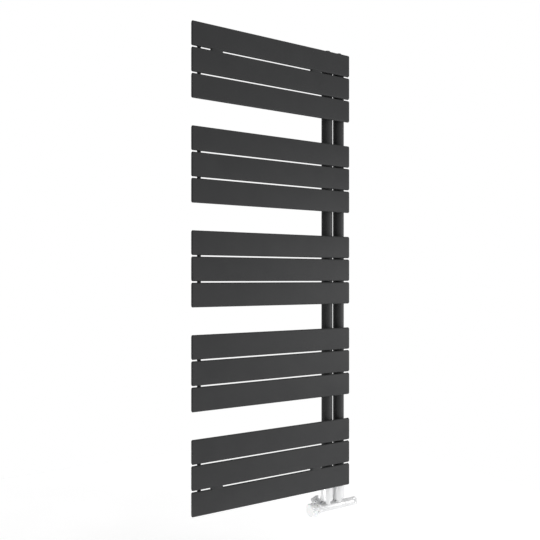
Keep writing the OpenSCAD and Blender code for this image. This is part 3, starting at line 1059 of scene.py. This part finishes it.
def numbers():
    """Numbers of the settings, printed round the smooth band of the cap."""
    height = 6.2
    relief = 0.06
    radius = HEAD_R - relief
    middle_x = -(CAP_IN + 4.2)
    strip = 0.7
    for setting in range(6):
        curve = bpy.data.curves.new(f"setting_{setting}", "FONT")
        curve.body = str(setting)
        curve.size = height * 1.4
        curve.extrude = relief
        curve.align_x = "CENTER"
        curve.align_y = "CENTER"
        made = bpy.data.objects.new("setting_text", curve)
        bpy.context.scene.collection.objects.link(made)
        bpy.context.view_layer.update()
        mesh = bpy.data.meshes.new_from_object(made)
        bpy.data.objects.remove(made)
        shape = bmesh.new()
        shape.from_mesh(mesh)
        xs = [v.co.x for v in shape.verts]
        shift = (min(xs) + max(xs)) / 2
        for k in range(-5, 6):  # cut into strips, so that the flat figure can bend
            bmesh.ops.bisect_plane(
                shape,
                geom=shape.verts[:] + shape.edges[:] + shape.faces[:],
                plane_co=(0, k * strip, 0),
                plane_no=(0, 1, 0),
            )
        bmesh.ops.remove_doubles(shape, verts=shape.verts, dist=0.0005)
        turn = POINTER + (setting - REST_SETTING) * SETTING_STEP
        for v in shape.verts:
            a = turn - v.co.y / radius
            r = radius + v.co.z
            spot = Vector((middle_x + v.co.x - shift, r * math.cos(a), r * math.sin(a)))
            v.co = (VALVE + spot) * MM
        bmesh.ops.recalc_face_normals(shape, faces=shape.faces)
        shape.to_mesh(mesh)
        shape.free()
        mesh.name = f"number_{setting}"
        dress(bpy.data.objects.new(mesh.name, mesh), INK, "thermostat_cap")


# ---- Lockshield cap, at the right-hand end ----


def lockshield_cap():
    """Long cap with two turned grooves, a knurled band and a rounded end."""
    low, high = box_mm("lockshield_cap")
    start, end = low.x - VALVE.x, high.x - VALVE.x
    r = (high.z - low.z) / 2
    mouth, room = 9.3, 11.0
    outer = rounded(
        [
            (start, mouth),
            (start, r, 0.5),
            (start + 4.0, r, 0.2),
            (start + 4.4, r - 0.6, 0.1),
            (start + 5.0, r - 0.6, 0.1),
            (start + 5.4, r, 0.2),
            (end - 15.2, r, 0.2),
            (end - 14.8, r - 0.5),
        ]
    )
    grip = ridges(r, 64, 0.5)
    knurl = [(end - 14.5, r - 0.5), (end - 14.1, grip), (end - 4.4, grip), (end - 4.0, r - 0.5)]
    crown = rounded(
        [
            (end - 3.7, r - 0.5),
            (end - 3.3, r, 0.2),
            (end, r, 1.6),
            (end, 5.0, 0.5),
            (end - 0.6, 4.4),
            (end - 0.6, 0.4),
        ]
    )
    inner = [(end - 4, 0.4), (end - 4, room), (start + 17, room), (start + 17, mouth)]
    profile = inner + outer + knurl + crown
    shells = Shells().turned(profile, VALVE, "x", 384)
    body = "lockshield_cap"
    add_piece("lockshield_cover", shells, VALVE_METAL, body, ("lockshield_cap",))


# ---- Floor, light and camera ----


def stage_floor():
    """White floor under the radiator. Its glow makes up for the dim side of the surround."""
    size, drop = 1.5, 0.16
    level = cad_box[0].z - drop
    mesh = bpy.data.meshes.new("floor")
    corners = [(-size, -size), (size, -size), (size, size), (-size, size)]
    mesh.from_pydata([(x, y, level) for x, y in corners], [], [(0, 1, 2, 3)])
    floor = bpy.data.objects.new("floor", mesh)
    bpy.context.scene.collection.objects.link(floor)
    m = Nodes("pale_floor")
    m.set(Specular_IOR_Level=0.1, Emission_Color=(1, 1, 1, 1), Emission_Strength=0.48)
    m.colour(m.ramp(m.noise(3, 2), (0.9, 0.9, 0.9), (0.93, 0.93, 0.93)))
    m.rough(m.span(m.noise(30, 2), 0.8, 0.9))
    mesh.materials.append(m.material)


def softbox(name, place, target, size, power, spread=180):
    """Rectangular light at a place, aimed at a target. The spread is in degrees."""
    light = bpy.data.lights.new(name, "AREA")
    light.shape = "RECTANGLE"
    light.size, light.size_y = size
    light.energy = power
    light.spread = math.radians(spread)
    obj = bpy.data.objects.new(name, light)
    obj.location = place
    obj.rotation_euler = (Vector(target) - Vector(place)).to_track_quat("-Z", "Y").to_euler()
    bpy.context.scene.collection.objects.link(obj)


def lights():
    """White surround, whose light is dimmer from the left, and three softboxes.

    The surround looks pure white to the camera from every side.
    """
    world = bpy.data.worlds.new("white_surround")
    world.use_nodes = True
    bpy.context.scene.world = world
    tree = world.node_tree
    new = tree.nodes.new
    around = tree.nodes["Background"]
    around.inputs["Color"].default_value = (1, 1, 1, 1)
    seen = new("ShaderNodeBackground")
    seen.inputs["Color"].default_value = (1, 1, 1, 1)
    split = new("ShaderNodeSeparateXYZ")
    tree.links.new(new("ShaderNodeTexCoord").outputs["Generated"], split.inputs["Vector"])
    side = new("ShaderNodeMapRange")
    side.interpolation_type = "SMOOTHSTEP"
    side.inputs["From Min"].default_value = -0.9
    side.inputs["From Max"].default_value = 0.5
    side.inputs["To Min"].default_value = 0.2
    side.inputs["To Max"].default_value = 0.78
    tree.links.new(split.outputs["X"], side.inputs["Value"])
    tree.links.new(side.outputs["Result"], around.inputs["Strength"])
    mix = new("ShaderNodeMixShader")
    tree.links.new(new("ShaderNodeLightPath").outputs["Is Camera Ray"], mix.inputs["Fac"])
    tree.links.new(around.outputs["Background"], mix.inputs[1])
    tree.links.new(seen.outputs["Background"], mix.inputs[2])
    tree.links.new(mix.outputs["Shader"], tree.nodes["World Output"].inputs["Surface"])
    softbox("key_right", (2.3, -1.6, -0.2), (0.2, 0, -0.2), (1.4, 1.2), 21)
    softbox("valve_fill", (-0.55, -0.2, -0.9), (0.25, -0.06, -0.82), (0.3, 0.2), 0.17, 40)
    softbox("fill_front", (-1.2, -3.4, 1.4), (0, 0, 0), (2.0, 1.6), 4)


def camera():
    """Level camera to the left of the radiator, about as high as its middle."""
    data = bpy.data.cameras.new("camera")
    data.sensor_width = 36
    data.lens = 43.3
    data.shift_y = 0.0157
    obj = bpy.data.objects.new("camera", data)
    obj.location = (-1.1054, -1.869, -0.029)
    obj.rotation_euler = (math.radians(90), 0, math.radians(-31.88))
    bpy.context.scene.collection.objects.link(obj)
    bpy.context.scene.camera = obj
    bpy.context.scene.view_settings.view_transform = "Standard"


# ---- Making everything ----

camera()
lights()
stage_floor()
dress_cad_nodes()

for panel in range(1, PANEL_COUNT + 1):
    panel_shell(panel)
end_caps("left")
end_caps("right")
pipe_tube("supply", SUPPLY.x)
pipe_tube("return", RETURN.x)
pipe_end_rings("pipe_top_rings", "manifold_top_caps", top=True)
pipe_end_rings("pipe_bottom_rings", "manifold_bottom_bushings", top=False)
PORT_RISE = middle("supply_nipples").z - (PANEL_ZS[0] + PANEL_ZS[-1]) / 2
panel_joints("supply", SUPPLY.x, PORT_RISE)
panel_joints("return", RETURN.x, -PORT_RISE)
for group in range(1, GROUP_COUNT + 1):
    stay_bar(group)
blanking_plug()
air_vent()
bracket_lugs()
bracket_stems()
wall_sockets()
grub_screws()
valve_barrel()
sleeves()
valve_nuts()
tails_and_rosettes()
head_nut()
head_base()
head_cap()
lockshield_cap()
